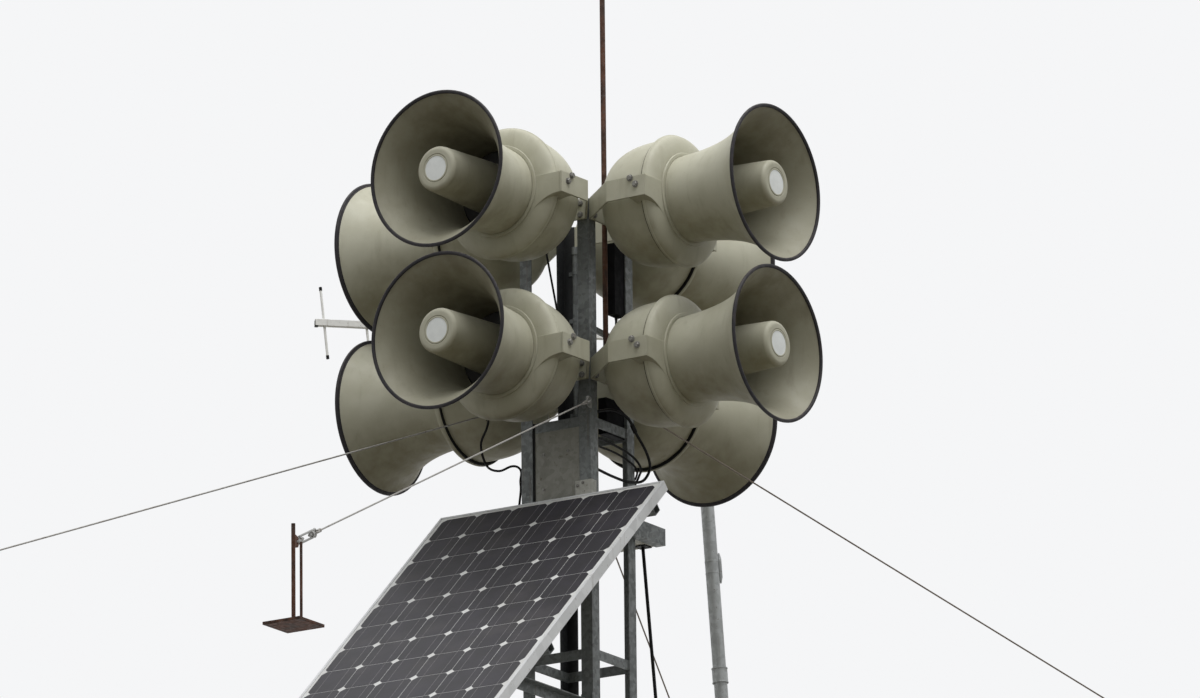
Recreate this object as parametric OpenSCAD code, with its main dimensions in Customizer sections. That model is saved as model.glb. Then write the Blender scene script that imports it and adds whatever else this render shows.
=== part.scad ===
// Civil defense siren tower: four-legged galvanised mast with two rows of horns,
// a solar panel, a leaning antenna pipe and guy wires. Origin under the base plate.

/* [Mast] */
// Outside width of the square mast
tower_w = 308; // [290:2:312]
// Width of each flange of the angle legs
leg_w = 50; // [45:1:60]
// Thickness of the angle legs
leg_t = 5; // [4:0.5:8]
// Side of the square base plate
base_w = 440; // [420:10:600]
// Thickness of the base plate
base_t = 12; // [8:1:25]
// Distance between the anchor bolts, along X and along Y
bolt_pitch = 370; // [355:5:380]
// Diameter of the anchor bolt holes
bolt_d = 18; // [14:1:22]
// Height of the tie bars between the legs
tie_h = 38; // [30:1:60]
// Thickness of the tie bars
tie_t = 4; // [3:0.5:6]
// Height of the lowest ring of tie bars above the base
tie_low_z = 250; // [150:10:400]
// Height of the middle ring of tie bars above the base
tie_mid_z = 790; // [620:10:810]
// Height of the top of the tie bars over the face sheet
sheet_top_z = 1724; // [1650:1:1730]
// Length of the face sheet
sheet_l = 560; // [400:10:650]
// Depth of the folded edges of the face sheet
sheet_fold = 57; // [30:1:70]

/* [Horns] */
// How far the horns are turned from square to the mast, seen from above
horn_turn = -2.2; // [-3:0.1:3]
// Height of the lower row of horns above the base
row_low_z = 1910; // [1890:1:1930]
// Distance between the two rows of horns
row_gap = 623; // [615:1:700]
// Outside radius of a horn mouth, trim included
mouth_r = 300; // [280:1:305]
// Distance of the mouth from the mast axis
mouth_s = 914; // [880:1:960]
// Outside radius of the bell at its neck
neck_r = 163; // [150:1:168]
// Distance of the neck from the mast axis
neck_s = 515; // [510:1:530]
// How strongly the bell flares
flare = 2.8; // [2:0.1:4]
// Wall of the bell
bell_t = 4; // [3:0.5:6]
// Diameter of the dark trim on the mouth
trim_d = 14; // [12:1:18]
// Greatest radius of the horn body, at its ridge
body_r = 253; // [245:1:264]
// Distance of the ridge from the mast axis
ridge_s = 482; // [470:1:490]
// Distance of the back of the body from the mast axis
back_s = 205; // [200:1:230]
// Radius of the inner plug at the mouth
plug_r = 86; // [76:1:95]
// Radius of the inner plug at the neck
plug_root_r = 100; // [96:1:115]
// Radius of the pale cap in the plug
cap_r = 53; // [40:1:60]

/* [Yokes] */
// Height of the bent plate that carries a horn
yoke_h = 80; // [60:1:90]
// Thickness of the bent plate
yoke_t = 8; // [6:0.5:10]
// Half width of the yoke over its arms
yoke_half = 295; // [290:1:300]
// Distance of the bend into the arms from the mast axis
yoke_bend_s = 344; // [335:1:352]
// Length of the yoke arms past the front of the cheeks
yoke_past = 2; // [0:1:15]
// How far the middle of the yoke lies below the horn axis
yoke_drop = 7; // [0:1:10]

/* [Solar panel] */
// Width of the solar panel
panel_w = 992; // [800:1:1100]
// Length of the solar panel down the slope
panel_l = 1640; // [1500:10:1650]
// Depth of the panel frame
panel_t = 40; // [30:1:50]
// Width of the panel frame on the glass side
lip_w = 11; // [8:1:16]
// Width of the flange at the back of the panel frame
flange_w = 28; // [20:1:35]
// Slope of the panel below the horizontal
panel_slope = 42.6; // [40:0.1:46]
// Height of the top edge of the panel
panel_top_z = 1411; // [1400:1:1420]
// Side of the square rails under the panel
rail_w = 40; // [30:1:50]
// Wall of the square rails
rail_t = 3; // [2:0.5:4]
// Distance of the upper rail from the top edge, down the slope
rail_top_l = 100; // [95:5:130]
// Distance of the lower rail from the top edge, down the slope
rail_low_l = 1100; // [900:10:1300]
// Height of the channels that carry the panel
arm_h = 65; // [60:1:75]
// Width of the channels that carry the panel
arm_w = 42; // [36:1:50]
// Height of the underside of the channels
arm_z = 1304; // [1300:1:1312]
// Thickness of the channels and brackets
arm_t = 4; // [3:0.5:6]
// Distance of the back end of the tray from the mast axis
tray_y = 300; // [280:5:360]
// Wall of the folded tray
tray_t = 3; // [2:0.5:4]
// Width of the flanges of the lower struts
strut_w = 40; // [30:1:45]
// Thickness of the lower struts
strut_t = 4; // [3:0.5:6]

/* [Rods and antenna] */
// Diameter of the rusty lightning rod
rod_d = 20; // [16:1:24]
// Height of the tip of the lightning rod
rod_top = 4000; // [3200:50:4500]
// Diameter of the antenna pipe
pipe_d = 52; // [42:1:60]
// Height of the top of the antenna pipe
pipe_top = 2450; // [2440:10:2600]
// How far the antenna boom lies below the top of the pipe
boom_drop = 44; // [40:1:60]
// Length of the antenna boom
boom_l = 1486; // [1440:2:1600]
// How steeply the antenna boom rises towards its tip
boom_rise = 1.4; // [0:0.1:3]
// Side of the square antenna boom
boom_w = 25; // [20:1:30]
// Diameter of the antenna elements
element_d = 10; // [8:0.5:12]
// Length of the foremost antenna element
element_l = 285; // [250:1:320]
// Lean of the antenna elements towards the tip of the boom
element_lean = 7; // [0:0.5:8]
// Distance between the antenna elements
element_gap = 165; // [150:1:180]
// Height of the stay between the mast and the antenna pipe
stay_z = 2221; // [2212:1:2230]
// Diameter of the stay between the mast and the antenna pipe
stay_d = 25; // [20:1:30]

/* [Guys] */
// Height where the guy wires meet the legs
guy_z = 1795; // [1780:1:1800]
// Diameter of a guy wire
guy_d = 6; // [5:0.5:8]
// Height of the anchor eyes
anchor_z = 300; // [250:10:350]
// Distance of the guy anchors from the mast axis, along Y
anchor_y = 3865; // [3600:5:4200]
// Distance of the front anchor from the mast axis, along X
anchor_front_x = 1316; // [1200:1:1500]
// Distance of the right anchor from the mast axis, along X
anchor_right_x = 1702; // [1500:1:1900]
// Distance of the left anchor from the mast axis, along X
anchor_left_x = 1570; // [1400:1:2000]
// Distance of the back anchor from the mast axis, along X
anchor_back_x = 1450; // [1300:1:2000]
// Diameter of the anchor posts
post_d = 14; // [12:1:20]
// Length of a turnbuckle between its eyes
turnbuckle_l = 220; // [200:10:300]
// Inside diameter of the eyes at the ends of turnbuckles and wires
eye_d = 18; // [16:1:24]

/* [Cables] */
// Side of the square cable duct inside the front leg
duct_w = 26; // [20:1:30]
// Diameter of the thickest cable
cable_d = 11; // [8:0.5:12]
// Diameter of the lead from the tray to the ground
lead_d = 13; // [10:1:16]
// Height of the underside of the upper cable box
box_z = 2159; // [2100:1:2200]

/* [Hidden] */

cream = "#a3a18f";
steel = "#7d8080";
zinc = "#8b8f8c";
dark = "#2a2b2e";
pale = "#c9c8bf";
rust = "#5a3524";

half_w = tower_w / 2;
row_high_z = row_low_z + row_gap;
mast_top = row_high_z - yoke_drop + yoke_h / 2;
turns = [0, 90, 180, 270];
seat = 0.3;
past = 1;

function unit(v) = v / norm(v);
function left_of(v) = [-v[1], v[0]];
function reversed(list) = [for (i = [len(list) - 1 : -1 : 0]) list[i]];

// Points of a path moved sideways by d, with mitred corners.
function mitred(path, d) = [for (i = [0 : len(path) - 1])
  let (a = i == 0 ? unit(path[1] - path[0]) : unit(path[i] - path[i - 1]))
  let (b = i == len(path) - 1 ? a : unit(path[i + 1] - path[i]))
  let (n = unit(left_of(a) + left_of(b)))
  path[i] + n * d / (n * left_of(a))];

// A plate bent along a path, as a polygon of thickness t on the left of the path.
module bent(path, t) { polygon(concat(path, reversed(mitred(path, t)))); }

// Places children on one side of the mast: square to it, and along the horn axis as +X.
module on_side(turn, z) { translate([0, 0, z]) rotate([0, 0, turn]) children(); }
module on_horn(turn, z) { on_side(turn + horn_turn, z) children(); }
module for_horns(z) { for (turn = turns) on_horn(turn, z) children(); }
module both_sides() { for (m = [0, 1]) mirror([m, 0, 0]) children(); }

// Turns a profile of radius and distance round the +X axis.
module spun() { rotate([0, 90, 0]) rotate_extrude($fn = 96) children(); }

// Places children, made along +Z, on the line from a to b.
module between(a, b) {
  d = b - a;
  translate(a) rotate([0, acos(d[2] / norm(d)), atan2(d[1], d[0])]) children();
}

// Stands a side view, drawn in y and z, upright with thickness t from x = 0.
module upright(t) { rotate([90, 0, 90]) linear_extrude(t) children(); }

// Horn bell
lip_s = mouth_s - trim_d / 2;
lip_r = mouth_r - trim_d / 2 + bell_t / 2;
bell_steps = 14;
function bell_radius(s) =
  let (u = (s - neck_s) / (lip_s - neck_s))
  neck_r + (lip_r - neck_r) * (exp(flare * u) - 1) / (exp(flare) - 1);
bell_stations = [for (i = [0 : bell_steps]) neck_s + (lip_s - neck_s) * i / bell_steps];
bell_outer = [for (s = bell_stations) [bell_radius(s), s]];
bell_inner = [for (s = reversed(bell_stations)) [bell_radius(s) - bell_t, s]];

module bell() { color(cream) spun() polygon(concat(bell_outer, bell_inner)); }

// Round trim whose flat back sits on the lip of the bell.
module mouth_trim() {
  color(dark) spun() intersection() {
    translate([mouth_r - trim_d / 2, lip_s]) circle(d = trim_d, $fn = 12);
    translate([mouth_r - 2 * trim_d, lip_s]) square([3 * trim_d, trim_d]);
  }
}

// Horn body: flat back, bulging rear shell, ridge, front dome and a collar round the neck.
shell_step = 5;
shell_gap = 15;
shell_r = body_r - shell_step;
shell_s = ridge_s - shell_gap;
shell_bulge = 2.4;
shell_flat = 4;
ridge_w = 11;
collar_w = 15;
collar_h = 6;
collar_r = neck_r + collar_w;
neck_gap = 0.5;
function shell_radius(s) =
  shell_r * pow(1 - pow((shell_s - s) / (shell_s - back_s + shell_flat), shell_bulge), 1 / shell_bulge);
shell_steps = 14;
dome_steps = 8;
body_profile = concat(
  [[0, back_s]],
  [for (i = [0 : shell_steps])
    let (s = shell_s - (shell_s - back_s) * cos(90 * i / shell_steps)) [shell_radius(s), s]],
  [[shell_r, ridge_s - ridge_w], [body_r, ridge_s - ridge_w], [body_r, ridge_s]],
  [for (i = [1 : dome_steps])
    let (a = 90 * i / dome_steps)
    [collar_r + (body_r - collar_r) * cos(a), ridge_s + (neck_s - ridge_s) * sin(a)]],
  [[collar_r, neck_s + collar_h], [neck_r + neck_gap, neck_s + collar_h],
   [neck_r + neck_gap, neck_s], [0, neck_s]]);

// Cheeks that the yoke arms are bolted to, seen along the horn axis. Below the arms
// a fillet runs down to a ring round the neck.
cheek_half = yoke_half - yoke_t;
cheek_top = yoke_h / 2 - yoke_drop;
cheek_low = yoke_h / 2 + yoke_drop;
cheek_ring = collar_r + 12;
cheek_l = 75;
fillet_r = (pow(cheek_half, 2) + pow(cheek_low, 2) - pow(cheek_ring, 2)) / (2 * (cheek_ring - cheek_low));
fillet_a = atan2(cheek_low + fillet_r, cheek_half);
fillet_steps = 8;
cheek_outline = concat(
  [[0, cheek_top], [cheek_half, cheek_top]],
  [for (i = [0 : fillet_steps])
    let (a = 90 + (90 - fillet_a) * i / fillet_steps)
    [cheek_half, -cheek_low - fillet_r] + fillet_r * [cos(a), sin(a)]],
  [for (i = [1 : fillet_steps])
    let (a = -fillet_a - (90 - fillet_a) * i / fillet_steps) cheek_ring * [cos(a), sin(a)]]);

module horn_body() {
  color(cream) union() {
    spun() polygon(body_profile);
    for (m = [0, 1]) mirror([0, m, 0])
      translate([neck_s - cheek_l, 0, 0]) upright(cheek_l) polygon(cheek_outline);
  }
}

// Inner plug with a round edge and a shallow recess for its cap.
plug_round = 18;
plug_steps = 5;
cap_depth = 3;
plug_profile = concat(
  [[0, neck_s], [plug_root_r, neck_s]],
  [for (i = [0 : plug_steps])
    let (a = 90 * i / plug_steps)
    [plug_r - plug_round + plug_round * cos(a), mouth_s - plug_round + plug_round * sin(a)]],
  [[cap_r, mouth_s], [cap_r, mouth_s - cap_depth], [0, mouth_s - cap_depth]]);

module horn_plug() { color(cream) spun() polygon(plug_profile); }

module plug_cap() {
  color(pale) spun() translate([0, mouth_s - cap_depth]) square([cap_r - seat, cap_depth]);
}

// Yoke: a plate bent round the back of the horn, flat on the face of the mast.
yoke_tip_s = neck_s + yoke_past;
yoke_base = half_w - 6;
function turned(p) = [
  p[0] * cos(horn_turn) - p[1] * sin(horn_turn), p[0] * sin(horn_turn) + p[1] * cos(horn_turn)];
yoke_path = [turned([yoke_tip_s, yoke_half]), turned([yoke_bend_s, yoke_half]),
  [half_w, yoke_base], [half_w, -yoke_base],
  turned([yoke_bend_s, -yoke_half]), turned([yoke_tip_s, -yoke_half])];

module yoke() {
  color(cream) translate([0, 0, -yoke_drop - yoke_h / 2]) linear_extrude(yoke_h) bent(yoke_path, yoke_t);
}

// Base plate with four anchor bolt holes
module base_plate() {
  color(steel) difference() {
    translate([-base_w / 2, -base_w / 2, 0]) cube([base_w, base_w, base_t]);
    for (x = [-1, 1]) for (y = [-1, 1])
      translate([x * bolt_pitch / 2, y * bolt_pitch / 2, -past])
        cylinder(d = bolt_d, h = base_t + 2 * past, $fn = 48);
  }
}

// Angle leg in the corner of +X and +Y
module leg() {
  color(steel) translate([half_w, half_w, base_t]) linear_extrude(mast_top - base_t)
    polygon([[0, 0], [-leg_w, 0], [-leg_w, -leg_t], [-leg_t, -leg_t], [-leg_t, -leg_w], [0, -leg_w]]);
}

// Rings of flat bar that tie the legs together from inside
inner_half = half_w - leg_t;
tie_levels = [tie_low_z, tie_mid_z, sheet_top_z - tie_h];
module tie_bars() {
  color(steel) for (z = tie_levels) translate([0, 0, z]) linear_extrude(tie_h) difference() {
    square(2 * inner_half, center = true);
    square(2 * (inner_half - tie_t), center = true);
  }
}

// Folded sheet behind the flange of the front leg, with a gap beside the left leg
sheet_t = 2;
sheet_gap = 9;
module face_sheet() {
  left = -half_w + leg_w + sheet_gap;
  path = [[left, sheet_fold - inner_half], [left, -inner_half], [inner_half, -inner_half],
    [inner_half, sheet_fold - inner_half]];
  color(zinc) translate([0, 0, sheet_top_z - tie_h - sheet_l]) linear_extrude(sheet_l) bent(path, sheet_t);
}

// Angle plate round the front leg, above the channels
bracket_t = 5;
bracket_w = 66;
bracket_back = 31;
bracket_top = 1474;
module leg_bracket() {
  low = arm_z + arm_h + seat;
  color(zinc) translate([half_w, -half_w, low]) linear_extrude(bracket_top - low)
    polygon([[-bracket_w, 0], [-bracket_w, -bracket_t], [bracket_t, -bracket_t],
      [bracket_t, bracket_back], [0, bracket_back], [0, 0]]);
}

// Black boxes inside the mast: one on the flange of the right leg, one on the highest tie bar
box_size = [36, 72, 278];
box_lap = 3;
box_at = [inner_half - box_size[0], half_w - leg_w + box_lap - box_size[1], box_z];
low_box_size = [36, 126, 140];
low_box_y = -27;
low_box_hang = 6;
low_box_at = [inner_half - tie_t - low_box_size[0], low_box_y, sheet_top_z - tie_h - low_box_hang];
module cable_boxes() {
  color(dark) {
    translate(box_at) cube(box_size);
    translate(low_box_at) cube(low_box_size);
  }
}

// Solar panel: children are made with x across, y down the slope and z out of the glass.
panel_top_y = half_w + bracket_t + seat + panel_t * sin(panel_slope);
module on_panel() {
  translate([0, -panel_top_y, panel_top_z]) rotate([panel_slope, 0, 0]) rotate([0, 0, 180]) children();
}
glass_t = 5;
lip_t = 2;
frame_t = 2.5;

// Box inset by d from the panel's outline, from height low to high.
module panel_cut(d, low, high) {
  translate([-panel_w / 2 + d, d, low]) cube([panel_w - 2 * d, panel_l - 2 * d, high - low]);
}

module panel_frame() {
  groove_low = -lip_t - glass_t - seat;
  color("#b5b8b4") on_panel() difference() {
    panel_cut(0, -panel_t, 0);
    panel_cut(lip_w, groove_low, past);
    panel_cut(frame_t, groove_low, -lip_t);
    panel_cut(lip_w, -panel_t + frame_t, groove_low + past);
    panel_cut(flange_w, -panel_t - past, -panel_t + frame_t + past);
  }
}

module panel_laminate() {
  color("#23242e") on_panel() panel_cut(frame_t + seat, -lip_t - glass_t - seat / 2, -lip_t - seat / 2);
}

// Square tubes across the back of the panel
rail_half = panel_w / 2 - 16;
module panel_rails() {
  color(steel) on_panel() for (l = [rail_top_l, rail_low_l]) difference() {
    translate([-rail_half, l - rail_w / 2, -panel_t - rail_w]) cube([2 * rail_half, rail_w, rail_w]);
    translate([-rail_half - past, l - rail_w / 2 + rail_t, -panel_t - rail_w + rail_t])
      cube([2 * (rail_half + past), rail_w - 2 * rail_t, rail_w - 2 * rail_t]);
  }
}

// Side view place of a point l down the slope of the panel and h out of the glass.
function panel_yz(l, h) = [
  -panel_top_y - l * cos(panel_slope) - h * sin(panel_slope),
  panel_top_z - l * sin(panel_slope) + h * cos(panel_slope)];
rail_back = -panel_t - rail_w;

// All the space in front of the back of the panel's frame and of the rail that starts at l
module panel_space(l) {
  on_panel() {
    translate([-panel_w, -panel_l, -panel_t]) cube([2 * panel_w, 2 * panel_l, panel_l]);
    translate([-panel_w, l - rail_w / 2, rail_back]) cube([2 * panel_w, panel_l, panel_l]);
  }
}

// Channels along both sides of the mast, cut to lie against the panel and its upper rail
arm_reach = 90;
arm_x = half_w + seat;
module panel_arms() {
  arm_l = tray_y + half_w + arm_reach;
  color(steel) difference() {
    both_sides() translate([arm_x, -half_w - arm_reach, arm_z]) difference() {
      cube([arm_w, arm_l, arm_h]);
      translate([-past, -past, arm_t]) cube([arm_w - arm_t + past, arm_l + 2 * past, arm_h - 2 * arm_t]);
    }
    panel_space(rail_top_l);
  }
}

// Folded tray behind the mast, between the channels
module rear_tray() {
  half = arm_x + arm_w - arm_t;
  low = half_w + seat;
  size = [2 * half, tray_y - low, arm_h - 2 * arm_t];
  color(zinc) translate([-half, low, arm_z + arm_t]) difference() {
    cube(size);
    translate([tray_t, tray_t, tray_t]) cube([size[0] - 2 * tray_t, size[1] - 2 * tray_t, size[2]]);
  }
}

// Angle struts from the front legs, cut to lie against the lower rail
strut_plate_h = 90;
module panel_struts() {
  mid = panel_yz(rail_low_l, rail_back);
  reach = -half_w - mid[0] + rail_w;
  color(steel) difference() {
    both_sides() translate([half_w - leg_w, -half_w - reach, mid[1] - strut_w / 2]) {
      cube([strut_t, reach, strut_w]);
      translate([0, 0, strut_w - strut_t]) cube([strut_w, reach, strut_t]);
      translate([0, reach - bracket_t, (strut_w - strut_plate_h) / 2])
        cube([leg_w, bracket_t, strut_plate_h]);
    }
    panel_space(rail_low_l);
  }
}

// Rusty lightning rod behind the face of the mast
clamp_t = 6;
clamp_h = 30;
rod_lead = 35;
rod_point = 60;
rod_x = half_w - clamp_t - seat - rod_d / 2;
rod_y = -14;
module lightning_rod() {
  color(rust) translate([rod_x, rod_y, 0]) {
    translate([0, 0, row_low_z - rod_lead])
      cylinder(d = rod_d, h = rod_top - rod_point - row_low_z + rod_lead, $fn = 48);
    translate([0, 0, rod_top - rod_point]) cylinder(d1 = rod_d, d2 = rod_d / 4, h = rod_point, $fn = 48);
  }
}

// Straps that hold the rod to the yokes
clamp_w = 76;
module rod_clamps() {
  color(dark) for (z = [row_low_z, row_high_z]) translate([0, rod_y, z - yoke_drop - clamp_h / 2])
    difference() {
      union() {
        translate([half_w - clamp_t, -clamp_w / 2, 0]) cube([clamp_t, clamp_w, clamp_h]);
        translate([rod_x, 0, 0]) cylinder(d = rod_d + 2 * clamp_t, h = clamp_h, $fn = 48);
      }
      translate([rod_x, 0, -past]) cylinder(d = rod_d + 2 * seat, h = clamp_h + 2 * past, $fn = 48);
      translate([half_w, -clamp_w, -past]) cube([clamp_w, 2 * clamp_w, clamp_h + 2 * past]);
    }
}

// Antenna on its own leaning pipe behind the mast
pipe_foot = [-161, 1379, 0];
pipe_lean = [-123, -78, 2450];
pipe_axis = unit(pipe_lean);
boom_z = pipe_top - boom_drop;
function pipe_at(z) = pipe_foot + pipe_axis * z / pipe_axis[2];
foot_w = 150;
foot_t = 10;
foot_pitch = 116;
foot_bolt_d = 12;

socket_w = 72;
socket_l = 60;
module antenna_pipe() {
  root = pipe_at(foot_t / 2);
  color(steel) {
    between(root, pipe_at(pipe_top)) {
      translate([-socket_w / 2, -socket_w / 2, 0]) cube([socket_w, socket_w, socket_l]);
      translate([0, 0, socket_l / 2])
        cylinder(d = pipe_d, h = norm(pipe_at(pipe_top) - root) - socket_l / 2, $fn = 48);
    }
    difference() {
      translate(pipe_foot - [foot_w / 2, foot_w / 2, 0]) cube([foot_w, foot_w, foot_t]);
      for (x = [-1, 1]) for (y = [-1, 1])
        translate(pipe_foot + [x * foot_pitch / 2, y * foot_pitch / 2, -past])
          cylinder(d = foot_bolt_d, h = foot_t + 2 * past, $fn = 24);
    }
  }
}

// Children are made with x along the boom from the pipe.
boom_turn = 219.5;
boom_block = [70, 64, 60];
module on_boom() { translate(pipe_at(boom_z)) rotate([0, -boom_rise, boom_turn]) children(); }
element_count = 8;
element_end = 35;
element_step = 6;
module on_elements() {
  for (i = [0 : element_count - 1]) {
    $longer = i * element_step;
    translate([boom_l - element_end - i * element_gap, 0, 0]) rotate([0, element_lean, 0]) children();
  }
}

// Bore for the antenna pipe through a block at height z
module pipe_bore(z, h) {
  between(pipe_at(z - h), pipe_at(pipe_top)) cylinder(d = pipe_d + 2 * seat, h = 2 * h, $fn = 48);
}

module antenna_boom() {
  color(steel) difference() {
    on_boom() {
      translate(-boom_block / 2) cube(boom_block);
      translate([0, -boom_w / 2, -boom_w / 2]) cube([boom_l, boom_w, boom_w]);
    }
    pipe_bore(boom_z, boom_block[2]);
    on_boom() on_elements() translate([0, 0, -boom_w])
      cylinder(d = element_d + 2 * seat, h = 2 * boom_w, $fn = 24);
  }
}

// Rods through the boom, each a little longer than the one in front of it
module antenna_elements() {
  color(steel) on_boom() on_elements()
    translate([0, 0, -(element_l + $longer) / 2])
      cylinder(d = element_d, h = element_l + $longer, $fn = 24);
}

// Stay from the back leg to the antenna pipe
stay_plate = [46, 8, 60];
stay_block = [60, 60, 44];
module antenna_stay() {
  from = [-half_w + leg_w / 2, half_w + stay_plate[1] / 2, stay_z];
  to = pipe_at(stay_z);
  color(steel) difference() {
    union() {
      between(from, to) cylinder(d = stay_d, h = norm(to - from), $fn = 48);
      between(to, pipe_at(pipe_top)) translate(-stay_block / 2) cube(stay_block);
      translate([from[0] - stay_plate[0] / 2, half_w, stay_z - stay_plate[2] / 2]) cube(stay_plate);
    }
    pipe_bore(stay_z, stay_block[2]);
    translate([-half_w, half_w - leg_w, stay_z - stay_plate[2]]) cube([leg_w, leg_w, 2 * stay_plate[2]]);
  }
}

// Guys: lug on a leg, wire with an eye at both ends, turnbuckle, lug on an anchor post.
corners = [[1, -1], [-1, -1], [1, 1], [-1, 1]];
anchors = [[anchor_front_x, -anchor_y], [-anchor_left_x, -anchor_y],
  [anchor_right_x, anchor_y], [-anchor_back_x, anchor_y]];
// How far the lug of each guy lies above guy_z
guy_lift = [-26, 0, 6, 0];
lug_t = 8;
lug_h = 40;
lug_reach = 26;
lug_edge = 12;
wire_eye_t = 6;
ferrule_d = 2 * guy_d + 2;
ferrule_l = 40;
buckle_eye_t = 8;

// Heading of a guy seen from above, and the centre of the hole in each of its two lugs
function heading(i) =
  let (d = anchors[i] - half_w * corners[i]) unit([d[0], d[1], 0]);
function guy_top(i) =
  [corners[i][0] * half_w, corners[i][1] * half_w, guy_z + guy_lift[i]] + lug_reach * heading(i);
function guy_foot(i) = [anchors[i][0], anchors[i][1], anchor_z] - (post_d / 2 + lug_reach) * heading(i);
function guy_way(i) = unit(guy_foot(i) - guy_top(i));

// Lug whose hole is at the origin, reaching back along -X, with an edge round the hole.
module lug() {
  difference() {
    union() {
      translate([-lug_reach - lug_t, -lug_t / 2, -lug_h / 2]) cube([lug_reach + lug_t, lug_t, lug_h]);
      rotate([90, 0, 0]) translate([0, 0, -lug_t / 2]) cylinder(d = lug_h, h = lug_t, $fn = 48);
    }
    rotate([90, 0, 0]) translate([0, 0, -lug_t])
      cylinder(d = lug_h - 2 * lug_edge, h = 2 * lug_t, $fn = 48);
  }
}

// Ring of round bar of thickness t, standing across the line of pull.
module eye_ring(t) { rotate_extrude($fn = 48) translate([(eye_d + t) / 2, 0]) circle(d = t, $fn = 24); }
module eye(t) { rotate([0, 90, 0]) eye_ring(t); }
// The same ring, in the upright plane of the guy.
module eye_flat(t) { rotate([90, 0, 0]) eye_ring(t); }

lug_hole_r = lug_h / 2 - lug_edge;
// Distance along the guy from a lug's hole to the middle of the eye in it, and between linked eyes
wire_start = lug_hole_r - seat + sqrt(pow(eye_d / 2, 2) - pow(lug_t / 2, 2));
function guy_span(i) = norm(guy_foot(i) - guy_top(i));
link_gap = eye_d - seat;

module guy_eyes() {
  color(steel) for (i = [0 : 3]) difference() {
    translate(guy_top(i)) rotate([0, 0, atan2(heading(i)[1], heading(i)[0])]) lug();
    translate([-half_w, -half_w, guy_z - 2 * lug_h]) cube([tower_w, tower_w, 4 * lug_h]);
  }
}

// Eye at the end of a wire, with the ferrule that closes it
module wire_eye() {
  eye(wire_eye_t);
  translate([0, 0, (eye_d + wire_eye_t) / 2 - past]) cylinder(d = ferrule_d, h = ferrule_l, $fn = 24);
}

module guy_wires() {
  color(pale) for (i = [0 : 3]) {
    length = guy_span(i) - 2 * wire_start - turnbuckle_l - link_gap;
    between(guy_top(i), guy_foot(i)) translate([0, 0, wire_start]) {
      wire_eye();
      translate([0, 0, eye_d + ferrule_l / 2])
        cylinder(d = guy_d, h = length - 2 * eye_d - ferrule_l, $fn = 24);
      translate([0, 0, length]) rotate([180, 0, 0]) wire_eye();
    }
  }
}

// Turnbuckle with a bar frame, two bosses, two screws and an eye at each end
screw_d = 10;
boss_d = 20;
boss_h = 18;
bar_d = 8;
bar_at = 12;
module turnbuckle() {
  arm = (eye_d + buckle_eye_t) / 2;
  frame_l = turnbuckle_l - 4 * arm;
  eye(buckle_eye_t);
  translate([0, 0, turnbuckle_l]) eye_flat(buckle_eye_t);
  for (z = [arm, turnbuckle_l - arm - frame_l / 3])
    translate([0, 0, z]) cylinder(d = screw_d, h = frame_l / 3, $fn = 24);
  for (z = [2 * arm, 2 * arm + frame_l - boss_h])
    translate([0, 0, z]) cylinder(d = boss_d, h = boss_h, $fn = 24);
  for (x = [-bar_at, bar_at]) translate([x, 0, 2 * arm]) cylinder(d = bar_d, h = frame_l, $fn = 24);
}

module turnbuckles() {
  color(steel) for (i = [0 : 3]) between(guy_foot(i), guy_top(i))
    translate([0, 0, wire_start]) turnbuckle();
}

// Anchor posts on their own plates, each with a lug for the turnbuckle
post_top = 55;
anchor_w = 150;
anchor_t = 10;
module guy_anchors() {
  color(steel) for (i = [0 : 3]) {
    translate([anchors[i][0], anchors[i][1], 0]) {
      cylinder(d = post_d, h = anchor_z + post_top, $fn = 48);
      translate([-anchor_w / 2, -anchor_w / 2, 0]) cube([anchor_w, anchor_w, anchor_t]);
    }
    translate(guy_foot(i)) rotate([0, 0, 180 + atan2(heading(i)[1], heading(i)[0])]) lug();
  }
}

// Square duct in the corner of the front leg, where the cables of the horns come out
duct_top = 1800;
duct_at = inner_half - tie_t - duct_w;
module cable_duct() {
  color(dark) translate([duct_at, -duct_at - duct_w, base_t]) cube([duct_w, duct_w, duct_top - base_t]);
}

// Point at share u of the smooth run from point i to the next one
function run_point(p, i, u) =
  let (a = p[max(i - 1, 0)], b = p[i], c = p[i + 1], d = p[min(i + 2, len(p) - 1)])
  b + u / 2 * (c - a + u * (2 * a - 5 * b + 4 * c - d + u * (3 * (b - c) + d - a)));

// Cable of diameter d through the points p. Its rings are set out across the direction side.
cable_sides = 8;
module cable(p, d, side) {
  spans = len(p) - 1;
  path = concat([for (i = [0 : spans - 1]) for (u = [0, 0.5]) run_point(p, i, u)], [p[spans]]);
  last = len(path) - 1;
  rings = [for (i = [0 : last])
    let (t = unit(path[min(i + 1, last)] - path[max(i - 1, 0)]))
    let (t = i == 0 ? unit(p[1] - p[0]) : i == last ? unit(p[spans] - p[spans - 1]) : t)
    let (v = unit(cross(t, side)), w = cross(t, v))
    for (k = [0 : cable_sides - 1])
      path[i] + d / 2 * (v * cos(360 * k / cable_sides) + w * sin(360 * k / cable_sides))];
  sides = [for (i = [0 : last - 1]) for (k = [0 : cable_sides - 1])
    let (a = i * cable_sides + k, b = i * cable_sides + (k + 1) % cable_sides)
    for (f = [[a, b, b + cable_sides], [a, b + cable_sides, a + cable_sides]]) f];
  polyhedron(points = rings, faces = concat(sides,
    [[for (k = [cable_sides - 1 : -1 : 0]) k]],
    [[for (k = [0 : cable_sides - 1]) last * cable_sides + k]]));
}

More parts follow.
